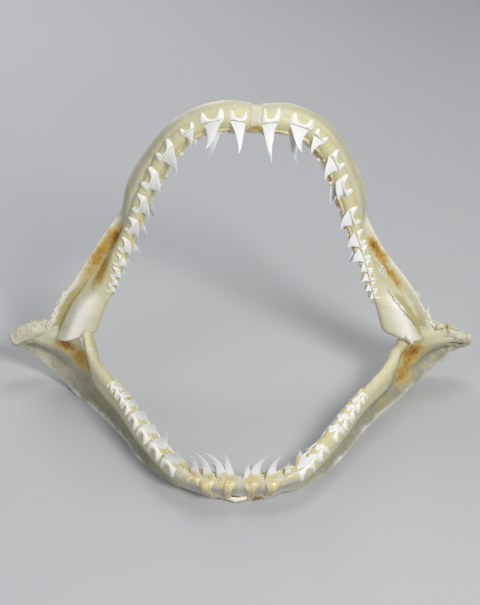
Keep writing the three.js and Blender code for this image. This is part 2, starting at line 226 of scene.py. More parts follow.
def fuller(wave):
    """A sine or cosine, pushed out so that a section is fuller than an ellipse."""
    return np.sign(wave) * np.abs(wave) ** SECTION_POWER


def height_at(share):
    """The share of its half height that a section has at a share of its half width."""
    return np.maximum(0, 1 - np.abs(share) ** (2 / SECTION_POWER)) ** (SECTION_POWER / 2)


def section_grid(u, angle):
    """Grids of u, and of the shares of the half width and half height, at angles round the section."""
    uu, aa = np.meshgrid(u, fuller(np.cos(angle)), indexing="ij")
    return uu, aa, np.broadcast_to(fuller(np.sin(angle)), uu.shape)


def catmull_rom(points, t):
    """The centripetal curve through the points, at parameters from 0 to 1."""
    p = np.asarray(points, float)
    p = np.vstack([2 * p[0] - p[1], p, 2 * p[-1] - p[-2]])
    spans = len(p) - 3
    s = np.clip(np.atleast_1d(t), 0, 1) * spans
    i = np.minimum(s.astype(int), spans - 1)
    w = (s - i)[:, None]
    p0, p1, p2, p3 = p[i], p[i + 1], p[i + 2], p[i + 3]
    d0 = np.linalg.norm(p1 - p0, axis=1, keepdims=True) ** 0.5
    d1 = np.linalg.norm(p2 - p1, axis=1, keepdims=True) ** 0.5
    d2 = np.linalg.norm(p3 - p2, axis=1, keepdims=True) ** 0.5
    t1 = ((p1 - p0) / d0 - (p2 - p0) / (d0 + d1) + (p2 - p1) / d1) * d1
    t2 = ((p2 - p1) / d1 - (p3 - p1) / (d1 + d2) + (p3 - p2) / d2) * d1
    c2 = -3 * p1 + 3 * p2 - 2 * t1 - t2
    c3 = 2 * p1 - 2 * p2 + t1 + t2
    return p1 + t1 * w + c2 * w**2 + c3 * w**3


def upper_posed(p):
    """The dried upper arch leans and turns to one side, more the higher it is."""
    p = np.array(p, float)
    h = np.maximum(0, (p[..., 2] - JOINT_HEIGHT) / UPPER_RISE)
    p[..., 2] -= UPPER_ROLL * h * h * p[..., 0]
    p[..., 0] += UPPER_LEAN * h + UPPER_SWEEP * h**4
    return p


def lower_posed(p):
    """The sides of the lower jaw bend the same way, half way along and only above the floor."""
    p = np.array(p, float)
    p[..., 0] += LOWER_SWAY * hump(-45, 90, p[..., 1]) * p[..., 2] / JOINT_HEIGHT
    return p


def blot(u, a, mark):
    """1 inside an oval mark on a plate's face, 0 outside. A mark is u, a and the reach along each."""
    return ramp(1.0, 0.2, np.hypot((u - mark[0]) / mark[2], (a - mark[1]) / mark[3]))


def upper_relief(side, u, a, face):
    """Bend of the plate in mm, swell of its thickness, and relief of the labial face alone.

    face runs from -1, lingual, to 1, labial.
    """
    rear = ramp(0.52, 0.68, u)
    fossa = hump(0.7, 0.2, u) * hump(0.3, 0.72, a)
    paddle = ramp(0.74, 0.93, u) * hump(-0.3, 0.75, a)
    groove = ramp(0.72, 0.9, u) * hump(0.6, 0.3, a)
    rim = ramp(0.6, 0.72, u) * ramp(0.7, 0.92, a)
    shelf = hump(0.71, 0.12, u) * ramp(0.1, -0.12, a) * ramp(-0.95, -0.4, a)
    bed = (1 - ramp(0.75, 0.85, u)) * hump(-0.3, 0.28, a)
    bend = 2.5 * rear * ramp(0.45, 1, a) - 6 * fossa - 4.5 * groove + 2 * paddle
    swell = 1 + 0.45 * paddle - 0.3 * fossa - 0.25 * groove
    labial = 1.6 * rim + 1.4 * shelf - 0.9 * bed - 1.2 * groove * (side > 0)
    return bend, swell, np.where(face > 0, labial, 0.0)


def lower_relief(side, u, a, face):
    """The same for a lower plate."""
    flank = ramp(0.18, 0.36, u) * (1 - ramp(0.85, 1, u))
    fossa = hump(0.68, 0.15, u) * hump(-0.3, 0.72, a)
    groove = flank * hump(0.5, 0.28, a)
    rim = flank * ramp(0.68, 0.95, a)
    front = 1 - ramp(0.15, 0.25, u)
    bend = 3.5 * flank * ramp(0.55, 1, a) - 2.5 * flank * hump(0.35, 0.5, a) - 5.5 * fossa
    swell = 1 - 0.25 * flank * hump(0.3, 0.7, a) - 0.25 * fossa + 0.25 * flank * hump(-1, 0.5, a)
    labial = 1.0 * rim - 1.6 * groove - 4.2 * front * hump(0.35, 1.2, a)
    for mark in FOLDS[side]:
        labial -= 4.2 * blot(u, a, mark)
    return bend, swell, np.where(face > 0, labial, 0.0)


# Marks on the labial faces: u, a, and the reach along each.
STAINS = {
    "upper_left": [(0.69, 0.44, 0.085, 0.62), (0.745, 0.6, 0.075, 0.4), (0.758, -0.15, 0.06, 0.62)],
    "upper_right": [(0.73, 0.62, 0.07, 0.32), (0.79, 0.56, 0.07, 0.26)],
    "lower_left": [(0.75, -0.48, 0.085, 0.42), (0.69, -0.2, 0.08, 0.46), (0.645, -0.2, 0.045, 0.36)],
    "lower_right": [(0.73, -0.2, 0.1, 0.75), (0.68, 0.2, 0.07, 0.6), (0.67, -0.6, 0.06, 0.5)],
}
DARK_STAINS = {
    "upper_left": [(0.675, 0.35, 0.035, 0.32)],
    "upper_right": [(0.71, 0.62, 0.03, 0.2)],
    "lower_left": [(0.757, -0.5, 0.045, 0.3)],
    "lower_right": [(0.74, -0.3, 0.045, 0.4)],
}
OLIVE_MARKS = [(0.865, -0.02, 0.05, 0.3), (0.92, 0.12, 0.055, 0.3), (0.97, 0.4, 0.055, 0.42)]
# Folds in the lower right plate: the relief dents them, and their insides are painted near-black as a
# painted shadow.
FOLDS = {-1: [], 1: [(0.915, 0.05, 0.03, 0.16), (0.955, 0.3, 0.022, 0.2), (0.885, 0.45, 0.02, 0.14)]}

UPPER = {
    "name": "upper", "stations": UPPER_STATIONS, "relief": upper_relief, "posed": upper_posed,
    "facing": 1, "tuck": RIGHT_TUCK, "pad": UPPER_PAD,
}
LOWER = {
    "name": "lower", "stations": LOWER_STATIONS, "relief": lower_relief, "posed": lower_posed,
    "facing": -1, "tuck": 0.0, "pad": LOWER_PAD,
}
EDGE_STEPS = 400


class Plate:
    """One curved cartilage plate on one side of the head."""

    def __init__(self, kind, side):
        self.kind, self.side, self.upper = kind, side, kind is UPPER
        self.name = kind["name"]
        self.key = f"{self.name}_{SIDES[side]}"
        stations = kind["stations"]
        tuck = kind["tuck"] if side > 0 else 0.0
        self.oral = [(side * o, b, z) for (o, b, z), _, _ in stations]
        self.basal = [(side * (o - tuck * float(hump(132, 46, z))), b, z) for _, (o, b, z), _ in stations]
        self.thick = [(thick, i, 0) for i, (_, _, thick) in enumerate(stations)]
        edge = catmull_rom(self.oral, np.linspace(0, 1, EDGE_STEPS))
        steps = np.linalg.norm(np.diff(edge, axis=0), axis=1)
        self.run = np.concatenate([[0], np.cumsum(steps)])

    def frame(self, u):
        """Curves and axes of the plate at parameters u."""
        u = np.atleast_1d(np.asarray(u, float))
        oral, basal = catmull_rom(self.oral, u), catmull_rom(self.basal, u)
        step = 0.004
        ahead, behind = np.clip(u + step, 0, 1), np.clip(u - step, 0, 1)
        along = unit(
            catmull_rom(self.oral, ahead) + catmull_rom(self.basal, ahead)
            - catmull_rom(self.oral, behind) - catmull_rom(self.basal, behind)
        )
        across = basal - oral
        half = np.linalg.norm(across, axis=1) / 2
        across = unit(across)
        outward = unit(np.cross(along, across)) * self.side * self.kind["facing"]
        return {
            "oral": oral, "along": along, "across": across, "outward": outward, "half": half,
            "centre": (oral + basal) / 2, "thick": catmull_rom(self.thick, u)[:, 0],
        }

    def frame_at(self, u):
        """The same at one parameter."""
        return {key: values[0] for key, values in self.frame(u).items()}

    def at(self, distance):
        """The parameter at distances along the oral edge."""
        return np.interp(distance, self.run, np.linspace(0, 1, len(self.run)))

    def points(self, u, a, face, lift=0.0):
        """Points of the surface at arrays of u and a, raised off it by a lift in mm."""
        u, a, face, lift = np.broadcast_arrays(*(np.asarray(v, float) for v in (u, a, face, lift)))
        shape = u.shape
        u, a, face, lift = (v.reshape(-1) for v in (u, a, face, lift))
        f = self.frame(u)
        a = np.clip(a, -1, 1)
        return self.place(f, u, a, np.sign(face) * height_at(a), lift).reshape(*shape, 3)

    def place(self, f, u, a, b, lift=0.0):
        bend, swell, labial = self.kind["relief"](self.side, u, a, b)
        rise = bend + b * swell * f["thick"] / 2 + labial * np.abs(b)
        reach = a * f["half"]
        if not self.upper:
            reach -= CORNER_RISE[self.side] * hump(0.665, 0.06, u) * ramp(0.3, -1, a)
            for centre, width, depth in ARCHES[self.side]:
                reach -= depth * hump(centre, width, u) * ramp(0.1, 1, a)
        p = f["centre"] + f["across"] * reach[:, None] + f["outward"] * rise[:, None]
        if np.any(lift):
            away_a = np.sign(a) * np.abs(a) ** 1.5 / f["half"]
            away_b = np.sign(b) * np.abs(b) ** 1.5 * 2 / f["thick"]
            normal = unit(f["across"] * away_a[:, None] + f["outward"] * away_b[:, None])
            p = p + normal * lift[:, None]
        return self.kind["posed"](p)

    def surface(self, u, angle):
        """A grid of points over parameters u and angles round the section."""
        uu, aa, bb = section_grid(u, angle)
        many = {key: np.repeat(values, len(angle), axis=0) for key, values in self.frame(u).items()}
        return self.place(many, uu.ravel(), aa.ravel(), bb.ravel()).reshape(*uu.shape, 3)


# Mesh helpers


def to_row(points):
    return (np.asarray(points, float) + PART_ORIGIN) * MM


def joined(shapes):
    """Points, faces and masks of several shapes as one."""
    points, faces, masks, start = [], [], {}, 0
    for shape_points, shape_faces, shape_masks in shapes:
        points.append(shape_points)
        faces.extend([tuple(i + start for i in face) for face in shape_faces])
        for key, values in shape_masks.items():
            masks.setdefault(key, []).append(values)
        start += len(shape_points)
    return np.concatenate(points), faces, {k: np.concatenate(v) for k, v in masks.items()}


def make_piece(name, shapes, material, nodes=(), weld=None):
    """A smooth mesh of shapes in mm, none of it below the floor, on the one body.

    It stands for its nodes, and weld is the distance in mm within which its points are joined.
    """
    points, faces, masks = joined(shapes)
    points[:, 2] = np.maximum(points[:, 2], FLOOR_TRIM)
    mesh = bpy.data.meshes.new(name)
    mesh.from_pydata(to_row(points).tolist(), [], faces)
    mesh.shade_smooth()
    for key, values in masks.items():
        layer = mesh.attributes.new(key, "FLOAT", "POINT")
        layer.data.foreach_set("value", np.asarray(values, np.float32))
    obj = bpy.data.objects.new(name, mesh)
    bpy.context.scene.collection.objects.link(obj)
    if weld:
        weld_points(mesh, weld)
    mesh.materials.append(material)
    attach(obj, "root")
    if nodes:
        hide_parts(*nodes)


def weld_points(mesh, distance):
    """Joins points that lie on one another, as at the closed ends of a plate."""
    work = bmesh.new()
    work.from_mesh(mesh)
    bmesh.ops.remove_doubles(work, verts=work.verts, dist=distance * MM)
    bmesh.ops.recalc_face_normals(work, faces=work.faces)
    work.to_mesh(mesh)
    work.free()


def ring_faces(rows, count, first=0):
    """Faces of a grid that is closed round its second axis. first is the corner that each starts from."""
    faces = []
    for start in range(0, (rows - 1) * count, count):
        for j in range(count):
            k = (j + 1) % count
            face = (start + j, start + count + j, start + count + k, start + k)
            faces.append(face[first:] + face[:first])
    return faces


def cap_faces(rows, count):
    """Faces from the two ends of such a grid to the two points that follow it."""
    last = (rows - 1) * count
    faces = []
    for j in range(count):
        k = (j + 1) % count
        faces.append((j, k, rows * count))
        faces.append((last + k, last + j, rows * count + 1))
    return faces


def grid_normals(p):
    """Normals of a grid that is closed round its second axis, pointing out."""
    du = np.gradient(p, axis=0)
    dv = (np.roll(p, -1, axis=1) - np.roll(p, 1, axis=1)) / 2
    return unit(np.cross(du, dv))


# Cartilage

PLATE_STEPS = 360
PLATE_ROUND = 144
END_STEPS = 9


def plate_masks(plate, u, a, face, points):
    """Where the cartilage is yellow, white, stained, olive, grey or rose, from 0 to 1 a point. The grey is
    partly the cartilage's own and partly painted shade, and the folds are painted near-black as a painted
    shadow.
    """
    blotch = rough(points, 14, SEED + 3)
    streak = rough(points, 4, SEED + 9)
    labial = ramp(-0.3, 0.3, face)
    uu, aa = u + 0.012 * blotch + 0.006 * streak, a + 0.12 * blotch + 0.08 * streak
    stain = 0.0 * u
    for mark in STAINS[plate.key]:
        stain = np.maximum(stain, blot(uu, aa, mark))
    for mark in DARK_STAINS[plate.key]:
        stain += 0.35 * blot(uu, aa, mark)
    if plate.upper:
        yellow = (0.55 + 0.45 * blotch) * (1 - ramp(-0.7, 0.3, aa)) * (1 - 0.8 * ramp(0.74, 0.84, u))
        yellow += 0.7 * hump(0.8, 0.06, uu) * hump(0.1, 0.5, aa)
        white = ramp(0.77, 0.9, uu) * hump(-0.35, 0.65, aa) + 0.7 * ramp(0.45, 0.95, aa)
        if plate.side < 0:
            olive = ramp(0.72, 0.88, uu) * hump(0.6, 0.28, aa) * (1.25 + 0.5 * streak)
        else:
            olive = 0.4 * hump(0.8, 0.1, u) * hump(0.4, 0.3, aa)
            for mark in OLIVE_MARKS:
                olive += 1.1 * blot(uu, aa, mark)
        grey = 0.35 * hump(0.3, 0.5, aa) * (1 - ramp(0.5, 0.65, u))
        rose = 0.0 * u
    else:
        front = 1 - ramp(0.16, 0.24, u)
        near_teeth = (1 - ramp(-0.8, 0.1, aa)) * (1 - ramp(0.45, 0.6, u))
        gum = (0.25 + 0.6 * ramp(-0.2, 0.5, blotch)) * near_teeth
        yellow = gum * (1 - 0.5 * front) + 0.2 * front * ramp(0, 0.6, streak)
        white = ramp(0.72, 0.95, aa) * ramp(0.2, 0.3, u) * (1 - 0.5 * ramp(0.6, 0.8, u))
        rose = front * ramp(-0.15, 0.1, face + 0.1 * streak)
        olive = 0.6 * hump(0.57, 0.06, uu) * hump(0.6, 0.3, aa)
        olive += 0.5 * hump(0.4, 0.24, u) * hump(0.45, 0.16, aa)
        olive += 0.8 * hump(0.62, 0.06, uu) * hump(-0.2, 0.4, aa)
        # Grey on the lower half of the outer face, towards the floor: partly the cartilage's own grey,
        # partly painted shade.
        grey = ramp(0.2, 0.3, u) * ramp(-0.5, 0.0, aa)
    fold_shadow = 0.0 * u
    if not plate.upper:
        for mark in FOLDS[plate.side]:
            fold_shadow = np.maximum(fold_shadow, blot(u, a, mark))
    inner = 1 - labial
    return {
        "yellow": clamp01(yellow + (0.15 + 0.4 * ramp(0, 0.6, blotch)) * inner),
        "white": clamp01(white) * (labial + 0.5 * inner * ramp(-0.2, 0.5, streak)),
        "stain": 1.25 * stain * (labial + 0.45 * inner),
        "olive": clamp01(olive + fold_shadow) * labial + 0.5 * inner * ramp(0.15, 0.6, -blotch),
        "grey": clamp01(grey) * labial, "fold_shadow": fold_shadow * labial, "rose": rose,
    }


# How far the oral corner of an upper plate is drawn back at its rear end.
OBLIQUE_END = 17.0
# How far the ends bulge: the front in mm, the rear as a share of the thickness.
FRONT_BULGE = 1.0
REAR_BULGE = {"upper": 0.22, "lower": 0.15}
END_INSET = 0.06


def plate_piece(plate):
    """The fine mesh of one plate, rounded off at both ends."""
    angle = np.linspace(0, 2 * np.pi, PLATE_ROUND, endpoint=False)
    u = np.linspace(0, 1, PLATE_STEPS)
    body = plate.surface(u, angle)
    f = plate.frame(np.array([0.0, 1.0]))
    if plate.upper:
        oral = clamp01((0.35 - np.cos(angle)) / 1.35) ** 1.6
        draw = OBLIQUE_END * ramp(0.78, 1.0, u)[:, None] * oral[None, :]
        body = body - draw[..., None] * f["along"][1]
    # Each end is a rounded edge: the thickness closes while the section moves on.
    ends = []
    turn = np.linspace(0, np.pi / 2, END_STEPS + 1)[1:]
    rear = f["thick"][1] * REAR_BULGE[plate.name]
    for ring, axis, reach in ((body[0], -f["along"][0], FRONT_BULGE), (body[-1], f["along"][1], rear)):
        mirror = ring[(-np.arange(PLATE_ROUND)) % PLATE_ROUND]
        middle = (ring + mirror) / 2
        inset = END_INSET * (ring.mean(0) - middle)
        rows = []
        for t in turn:
            close = middle + (ring - middle) * math.cos(t) + inset * (1 - math.cos(t))
            rows.append(close + axis * reach * math.sin(t))
        ends.append(rows)
    points = np.concatenate([ends[0][::-1], body, ends[1]])
    params = np.concatenate([np.zeros(END_STEPS), u, np.ones(END_STEPS)])
    uu, aa, bb = section_grid(params, angle)
    normals = grid_normals(points)
    inward = np.sum(normals * (points - points.mean(axis=1, keepdims=True))) < 0
    if inward:
        normals = -normals
    points = points + normals * plate_texture(plate, uu, aa, bb, points)[..., None]
    masks = {key: mask.ravel() for key, mask in plate_masks(plate, uu, aa, bb, points).items()}
    faces = ring_faces(*points.shape[:2], first=0 if inward else 1)
    shape = (points.reshape(-1, 3), faces, masks)
    node = f"{plate.name}_jaw_{SIDES[plate.side]}"
    make_piece(f"{plate.key}_cartilage", [shape], material_cartilage(), [node], weld=0.02)


def plate_texture(plate, u, a, face, points):
    """Height in mm of the fine relief: lumps, the gum bed, dried wrinkles and ragged rims."""
    labial = ramp(-0.1, 0.3, face)
    height = 0.5 * rough(points, 26, SEED + 20) + 0.3 * rough(points, 7, SEED + 30)
    height += 0.1 * rough(points, 2.2, SEED + 40)
    toothed = 1 - ramp(0.8, 0.86, u) if plate.upper else 1 - ramp(0.52, 0.6, u)
    bed = toothed * hump(-0.72, 0.42, a)
    height += bed * (0.2 + 0.55 * rough(points, 4.5, SEED + 33))
    if plate.upper:
        ragged = ramp(0.8, 0.88, u) * ramp(0.74, 0.9, a)
        hollow = hump(0.72, 0.1, u) * hump(0.4, 0.5, a)
    else:
        ragged = ramp(0.84, 0.92, u) * (1 - ramp(0.97, 1.0, u))
        hollow = hump(0.7, 0.1, u) * hump(-0.2, 0.6, a)
        folds = np.stack([u * 12, a * 3.2, 0 * u], axis=-1)
        wrinkled = 0.7 * labial * ramp(0.2, 0.35, u) * ramp(-0.4, 0, a)
        height += wrinkled * rough(folds, 1.0, SEED + 36)
    return height + labial * (0.9 * ragged + 0.8 * hollow) * rough(points, 3.4, SEED + 38)


# Teeth

# Shares of a tooth's own size, and how far a foot stands off the plate in mm.
NOTCH = 0.68
LOBE = 0.68
NECK = 0.58
TAPER = 0.86
FOOT_LIFT = -0.5
TOOTH_COLUMNS = 19
CROWN_ROWS = 18
ROOT_ROWS = 15


def tooth_faces():
    """The faces of one tooth, whose front and back sheets share their edges."""
    rows = CROWN_ROWS + ROOT_ROWS
    front = np.zeros((rows, TOOTH_COLUMNS), int)
    back = np.zeros((rows, TOOTH_COLUMNS), int)
    count = 1
    for i in range(1, rows):
        for j in range(TOOTH_COLUMNS):
            front[i, j] = back[i, j] = count
            count += 1
            if 0 < j < TOOTH_COLUMNS - 1 and i < rows - 1:
                back[i, j] = count
                count += 1
    faces = []
    for sheet, turned in ((front, False), (back, True)):
        for i in range(rows - 1):
            for j in range(TOOTH_COLUMNS - 1):
                q = [sheet[i, j], sheet[i + 1, j], sheet[i + 1, j + 1], sheet[i, j + 1]]
                q = [int(c) for n, c in enumerate(q) if c not in q[:n]]
                if len(q) > 2:
                    faces.append(tuple(q[::-1] if turned else q))
    return front, back, count, faces


TOOTH_FRONT, TOOTH_BACK, TOOTH_COUNT, TOOTH_FACES = tooth_faces()


def make_tooth(base, tip, labial, along, width, sweep, slim, root, drape=None):
    """One tooth from the middle of its crown's foot to its tip.

    labial is the way its flat face looks, and along the way its tip curves. slim is 1 for the slender front
    teeth and 0 for the broad ones at the sides. The root is a dict like that of root_of.
    drape(x, q, lift) gives points on the jaw under the root, x along the jaw and q away from the crown.
    """
    foot = root["foot"]
    axis = tip - base
    crown = np.linalg.norm(axis)
    z_axis = axis / crown
    y_axis = unit(labial - z_axis * np.dot(labial, z_axis))
    x_axis = np.cross(y_axis, z_axis)
    x_axis = x_axis * np.sign(np.dot(x_axis, along))

    def spot(x, y, z):
        return base + x[..., None] * x_axis + y[..., None] * y_axis + z[..., None] * z_axis

    s = np.sin(np.linspace(-1, 1, TOOTH_COLUMNS) * np.pi / 2)
    half = width / 2
    down = (np.linspace(0, 1, CROWN_ROWS) ** 1.1)[:, None]
    blade = half * (NECK * down**TAPER + (foot - NECK) * down ** (2.4 + 1.6 * slim))
    lens = 1 - s**2
    height = 1 - down
    bow = -0.1 * crown * np.sin(np.pi * height)
    x = s * blade + sweep * crown * (height**2 - height)
    z = crown * height - 0.05 * crown * down**3 * lens
    thick = np.minimum(blade, 0.3 * half + 0.5 * blade)
    front = bow + 0.14 * thick * lens + 0.05
    back = bow - 0.72 * thick * lens**0.75 - 0.05
    crown_front, crown_back = spot(x, front, z), spot(x, back, z)

    r = np.linspace(0, 1, ROOT_ROWS + 1)[1:, None] ** 1.4
    lobe = np.exp(-(((np.abs(s) - LOBE) / 0.27) ** 2))
    depth = root["depth"] * (1 - root["notch"] * (1 - lobe))
    q = r * depth
    spread = ramp(0.05, root["narrow"], r)
    x = s * (half * foot * (1 - spread) + root["gap"] / LOBE * spread) + root["shift"] * spread
    round_off = np.sqrt(np.maximum(0, 1 - np.abs(s) ** (2 + 2 * root["notch"] / NOTCH)))
    arm = 1 - root["notch"] / NOTCH * ramp(0.2, 0.7, r) * (1 - lobe)
    close = np.sqrt(np.maximum(0, 1 - r**6))
    thick = 0.65 * half * round_off * close
    root_front = spot(x, 0.14 * half * lens * close + 0.05, -q)
    root_back = spot(x, -(0.72 * thick * (1 - 0.3 * r) + 0.05), -q)
    if drape is not None:
        lift = -0.6 + (root["proud"] + 0.6) * arm * round_off * close
        lift = lift * ramp(-0.12, 0.16, r) + 0.25 * (1 - ramp(-0.12, 0.16, r))
        on = ramp(0, 0.35, r)[..., None]
        root_front = drape(x, q, lift)
        root_back = root_back * (1 - on) + drape(x, q, np.minimum(lift - 0.4, -1.6)) * on
    fronts = np.concatenate([crown_front, root_front])
    backs = np.concatenate([crown_back, root_back])
    rows = CROWN_ROWS + ROOT_ROWS
    points = np.zeros((TOOTH_COUNT, 3))
    points[TOOTH_BACK.ravel()] = backs.reshape(-1, 3)
    points[TOOTH_FRONT.ravel()] = fronts.reshape(-1, 3)
    points[0] = (crown_front[0, 0] + crown_back[0, 0]) / 2
    rooted = np.concatenate([ramp(root["enamel"], root["enamel"] + root["blend"], down), np.ones_like(r)])
    up = np.concatenate([height, 0 * r])
    masks = {"aged": np.full(TOOTH_COUNT, root["aged"])}
    for key, values in (("root", rooted), ("height", up)):
        mask = np.zeros(TOOTH_COUNT)
        mask[TOOTH_FRONT.ravel()] = np.broadcast_to(values, (rows, TOOTH_COLUMNS)).ravel()
        mask[TOOTH_BACK.ravel()] = mask[TOOTH_FRONT.ravel()]
        masks[key] = mask
    masks["height"][0], masks["root"][0] = 1.0, 0.0
    return points, TOOTH_FACES, masks


def root_of(width, depth, aged=0.3):
    """An ordinary forked root under a crown of a width.

    depth, gap, shift and proud are in mm: half the gap between the lobes, how far they lie towards the
    joint, and how far the root stands out. notch is the depth of the fork, and foot the width at the
    crown, both as a share. The crown turns into root over blend, from enamel on, and the root narrows to
    its lobes over narrow. aged is 1 where it is golden.
    """
    return {
        "depth": depth, "gap": 0.57 * LOBE * width, "shift": 0.0, "notch": NOTCH,
        "proud": 1.4 + 0.06 * width, "aged": aged, "foot": 1.04, "enamel": 0.88, "blend": 0.14,
        "narrow": 0.7,
    }


def stand(plate, i, row, distance, crown, tilt):
    """The foot and the tip of a tooth as in the solids, and how far out in the plate the foot stands."""
    f = plate.frame_at(plate.at(distance))
    back = float(ramp(2, 6, i))
    forward = 0.3 - 0.1 * back if plate.upper else 0.15 - 0.15 * back
    lean = math.radians((6 if plate.upper else 4 + 20 * float(ramp(3, 5, i))) + SECOND_LEAN * row)
    z = -f["across"] * math.cos(lean) - f["outward"] * math.sin(lean)
    z = unit(z + f["along"] * math.tan(math.radians(tilt)))
    sink = SECOND_SINK[plate.name] if row else FIRST_SINK
    foot = f["oral"] + f["outward"] * f["thick"] * (forward - SECOND_BACK * row) + f["across"] * sink
    return plate.kind["posed"](foot), plate.kind["posed"](foot) + z * crown, forward


# The rows that lie on the lingual face: where each starts, from 0 at the oral edge to 1 at the basal
# edge, and how far its tips stand off the plate in mm.
LYING_ROWS = [(0.12, 5.0), (0.36, 1.8), (0.6, 1.0)]


def teeth_pieces(plate):
    """The teeth of one jaw half: those in use, and the spare teeth behind them."""
    key = plate.key
    rng = np.random.default_rng(SEED + sum(map(ord, key)))
    sweeps, columns = SWEEP.get(key, ()), FRONT_ROOTS.get(key, ())
    first, spare = [], []
    for i, (distance, crown, width, tilt, depth) in enumerate(TEETH[key]):
        f = plate.frame_at(plate.at(distance))
        slim = 1 - float(ramp(2, 5, i))
        curve = sweeps[i] if i < len(sweeps) else 0.08 + 0.12 * rng.random()
        _, tip, forward = stand(plate, i, 0, distance, crown, tilt)
        a_foot = -height_at(2 * forward)
        root = root_of(width, depth, 0.0 if plate.upper else 0.12)
        if i < len(columns):
            root.update(zip(("gap", "shift", "notch", "proud"), columns[i]))
            root.update(aged=1.0, foot=0.84, enamel=0.6, blend=0.4, narrow=0.45)

        def drape(x, q, lift):
            run = distance + x
            p = plate.points(plate.at(run), a_foot + q / f["half"], 1, lift)
            return p + np.minimum(run, 0)[..., None] * f["along"]

        base = drape(np.array(0.0), np.array(0.0), np.array(FOOT_LIFT))
        first.append(make_tooth(base, tip, f["outward"], f["along"], width, curve, slim, root, drape))
        for n, spare_crown, spare_tilt in SECOND_ROW[key]:
            if n == i:
                base, tip, _ = stand(plate, i, 1, distance, spare_crown, spare_tilt)
                root = root_of(width, min(depth * 0.4, 5))
                size = width * SECOND_SHARE
                spare.append(make_tooth(base, tip, f["outward"], f["along"], size, 0.1, slim, root))
        for row, (start, lift) in enumerate(LYING_ROWS):
            size = 0.9 - 0.08 * row
            length = min(crown * size, 2 * f["half"] * (0.97 - start))
            if length < 0.45 * crown:
                continue
            share = length / crown
            a = -1 + 2 * start
            shift = 3 * (rng.random() - 0.5)
            u_row = plate.at(distance + shift)
            lifts = [0.5 + 0.1 * width * share, lift + 0.08 * width]
            base, tip = plate.points([u_row, u_row], [a, a + length / f["half"]], -1, lifts)
            away = unit(plate.points(u_row, a + 0.3, -1, 3.0) - plate.points(u_row, a + 0.3, -1, 0.0))
            size = width * min(0.92, share)
            root = root_of(size, min(depth * 0.3, 2.5))
            spare.append(make_tooth(base, tip, away, f["along"], size, 0.1, slim, root))
    make_piece(f"teeth_{key}_front", first, material_tooth(False), weld=0.0005)
    make_piece(f"teeth_{key}_spare", spare, material_tooth(True), weld=0.0005)


# Gum and dried tissue


def tube_shape(path, radii, count=12, seed=0, bumps=(2.0, 0.3), squash=1.0):
    """A closed rough tube along a path in mm."""
    path, radii = np.asarray(path, float), np.asarray(radii, float)[:, None]
    along = unit(np.gradient(path, axis=0))
    side = unit(np.cross(along, np.array([0.2, 0.1, 1.0])))
    up = np.cross(side, along)
    angle = np.linspace(0, 2 * np.pi, count, endpoint=False)
    ring = (
        np.cos(angle)[None, :, None] * side[:, None, :]
        + squash * np.sin(angle)[None, :, None] * up[:, None, :]
    )
    p = path[:, None, :] + radii[..., None] * ring
    grow = rough(p, bumps[0], seed) * bumps[1] * np.minimum(1, radii)
    p = p + ring * grow[..., None]
    points = np.concatenate([p.reshape(-1, 3), path[:1], path[-1:]])
    return points, ring_faces(len(path), count) + cap_faces(len(path), count), {}


def strand(points, thickest, seed, steps=24, blunt=0.15, count=8, bumps=(1.6, 0.25)):
    """A fibre or strap of dried tissue through a few points, thinning to its ends."""
    t = np.linspace(0, 1, steps)
    radii = thickest * (blunt + (1 - blunt) * np.sin(np.pi * clamp01(0.12 + 0.86 * t)) ** 0.7)
    radii[0] = radii[-1] = 0.08
    return tube_shape(catmull_rom(points, t), radii, count, seed, bumps)


def strand_piece(name, material, *values):
    """A piece of one strand."""
    make_piece(name, [strand(*values)], material)


def gum_piece(plate):
    """The dried gum that runs between the teeth, along the oral edge."""
    run = np.arange(1.0, min(TEETH[plate.key][-1][0] + 8, plate.run[-1] - 20), 0.7)
    u = plate.at(run)
    shapes = []
    for lane, (a, face, size) in enumerate([(-0.97, -1, 1.5), (-0.8, -1, 1.1)]):
        wave = rough(np.stack([run, 0 * run, 0 * run], axis=-1), 5, SEED + 70 + lane)
        path = plate.points(u, a + 0.03 * wave, face, 0.2 + 0.5 * wave)
        radii = size * (1 + 0.45 * wave)
        radii[0] = radii[-1] = 0.1
        shapes.append(tube_shape(path, radii, 12, SEED + 80 + lane, (1.8, 0.5)))
    make_piece(f"gum_{plate.key}", shapes, material_gum(), weld=0.01)


# Dried bits of gum behind the upper right teeth: mm along the oral edge and size.
GUM_BITS = [(57, 2.6), (84, 2.2), (108, 2.6), (112, 1.6), (134, 2.4), (150, 3.0), (154, 2.0)]


def gum_bits(plate):
    """Three short straps at each of those places, from behind the teeth over the edge."""
    rng = np.random.default_rng(SEED + 5)
    shapes = []
    for distance, size in GUM_BITS:
        u = plate.at(distance)
        base, top = plate.points([u, u + 0.004], [-0.9, -0.98], -1, [0.5, 1.0 + size * 0.6])
        f = plate.frame_at(u)
        for k in range(3):
            way = -f["across"] * rng.uniform(0.6, 1.4) + f["along"] * rng.uniform(-1, 1)
            end = top + way * size * 1.2
            middle = (base + end) / 2 + rng.normal(0, 0.3, 3)
            shapes.append(strand([base, middle, end], size * 0.34, SEED + k))
    make_piece("gum_bits", shapes, material_tissue(True))


# The crack in the right paddle, and the middle and the reach of the flaking patch above it, all as u
# and a.
CRACK = [
    (0.806, -0.27), (0.828, -0.25), (0.845, -0.31), (0.862, -0.29), (0.898, -0.26), (0.926, -0.13),
    (0.962, 0.18),
]
FLAKE_MIDDLE = (0.766, 0.0)
FLAKE_REACH = (0.019, 0.45)
FLAKES = 15


